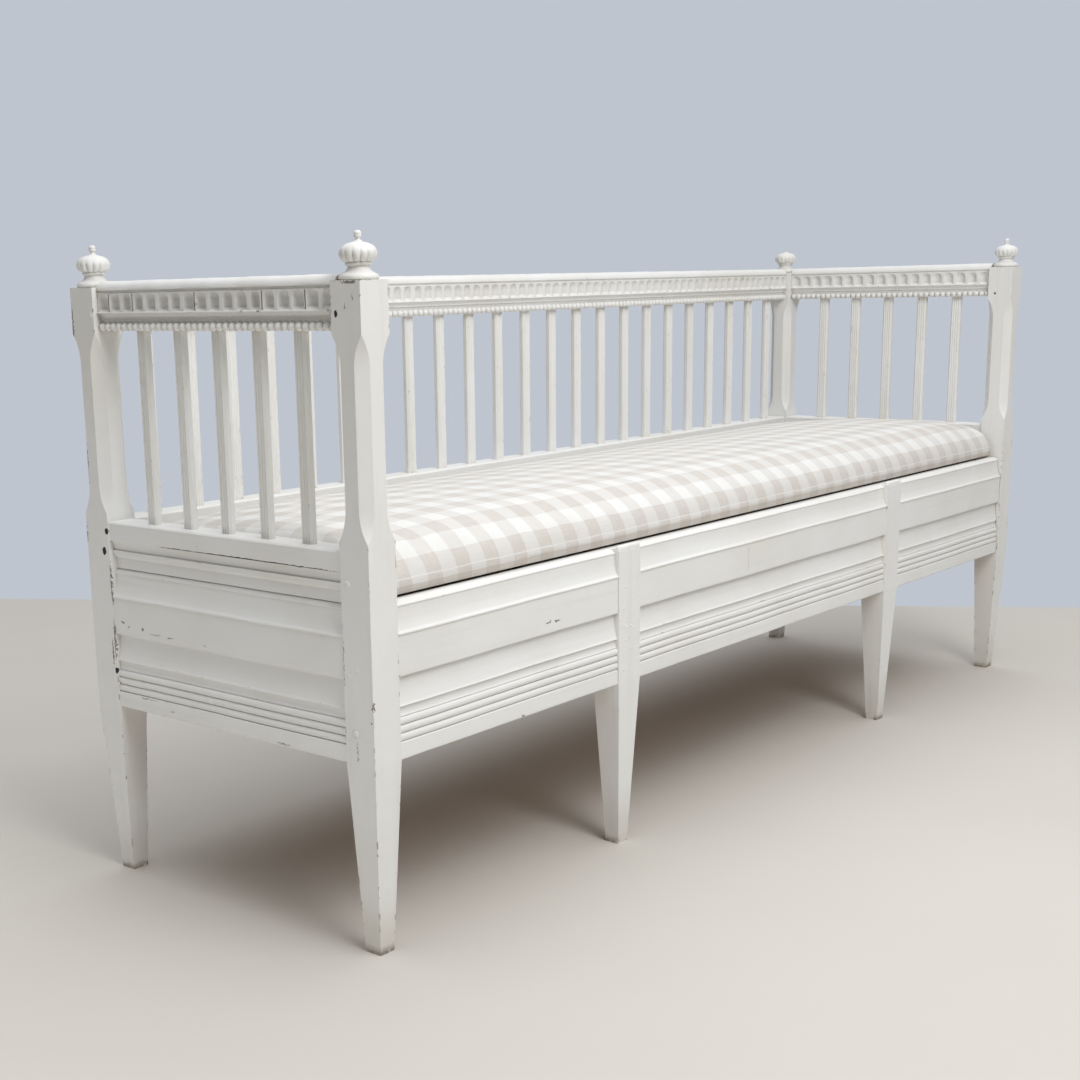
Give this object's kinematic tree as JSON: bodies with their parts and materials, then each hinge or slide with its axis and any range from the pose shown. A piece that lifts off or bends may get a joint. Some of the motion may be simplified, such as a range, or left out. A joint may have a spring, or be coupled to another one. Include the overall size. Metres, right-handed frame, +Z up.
{
  "type": "pull-out bench bed",
  "caption": "Painted slat-back bench with fluted top rails and stop-chamfered posts; its moulded front draws out on sliding slats as a bed under a loose gingham seat.",
  "frame": {"origin": "on the floor, under the middle of the bench's footprint", "axes": "+X to the right as seen from the front, +Y to the back, +Z up; the pull-out draws out along -Y"},
  "size_m": [1.95, 0.547, 0.891],
  "materials": {
    "painted_pine": "worn off-white oil paint on pine, dry and slightly chalky",
    "bare_pine": "bare aged pine, planed",
    "gingham_linen": "beige and white gingham linen over padding"
  },
  "bodies": {
    "frame": {"back_apron": "painted_pine", "back_left_finial": "painted_pine", "back_left_post": "painted_pine", "back_right_finial": "painted_pine", "back_right_post": "painted_pine", "back_seat_ledger": "bare_pine", "back_seat_rail": "painted_pine", "back_slat_rail": "bare_pine", "back_spindles": "painted_pine", "back_top_rail": "painted_pine", "fixed_slats": "bare_pine", "front_left_finial": "painted_pine", "front_left_post": "painted_pine", "front_right_finial": "painted_pine", "front_right_post": "painted_pine", "left_apron": "painted_pine", "left_crown_moulding": "painted_pine", "left_runner": "bare_pine", "left_seat_ledger": "bare_pine", "left_seat_rail": "painted_pine", "left_spindle_1": "painted_pine", "left_spindle_2": "painted_pine", "left_spindle_3": "painted_pine", "left_spindle_4": "painted_pine", "left_spindle_5": "painted_pine", "left_top_rail": "painted_pine", "left_travel_stop": "bare_pine", "right_apron": "painted_pine", "right_crown_moulding": "painted_pine", "right_runner": "bare_pine", "right_seat_ledger": "bare_pine", "right_seat_rail": "painted_pine", "right_spindle_1": "painted_pine", "right_spindle_2": "painted_pine", "right_spindle_3": "painted_pine", "right_spindle_4": "painted_pine", "right_spindle_5": "painted_pine", "right_top_rail": "painted_pine", "right_travel_stop": "bare_pine"},
    "pull_out": {"front_left_apron": "painted_pine", "front_middle_apron": "painted_pine", "front_right_apron": "painted_pine", "front_slat_rail": "bare_pine", "left_drawer_side": "bare_pine", "left_middle_leg": "painted_pine", "right_drawer_side": "bare_pine", "right_middle_leg": "painted_pine", "sliding_slats": "bare_pine", "tail_rail": "bare_pine"},
    "seat": {"left_batten": "bare_pine", "middle_batten": "bare_pine", "right_batten": "bare_pine", "seat_board": "bare_pine", "seat_pad": "gingham_linen"}
  },
  "joints": [
    {"name": "pull_out_slide", "type": "slide", "parent": "frame", "child": "pull_out", "axis": [0, -1, 0], "range_m": [0, 0.4]},
    {"name": "seat_lift", "type": "slide", "parent": "frame", "child": "seat", "axis": [0, 0, 1], "range_m": [0, 0.5]}
  ]
}
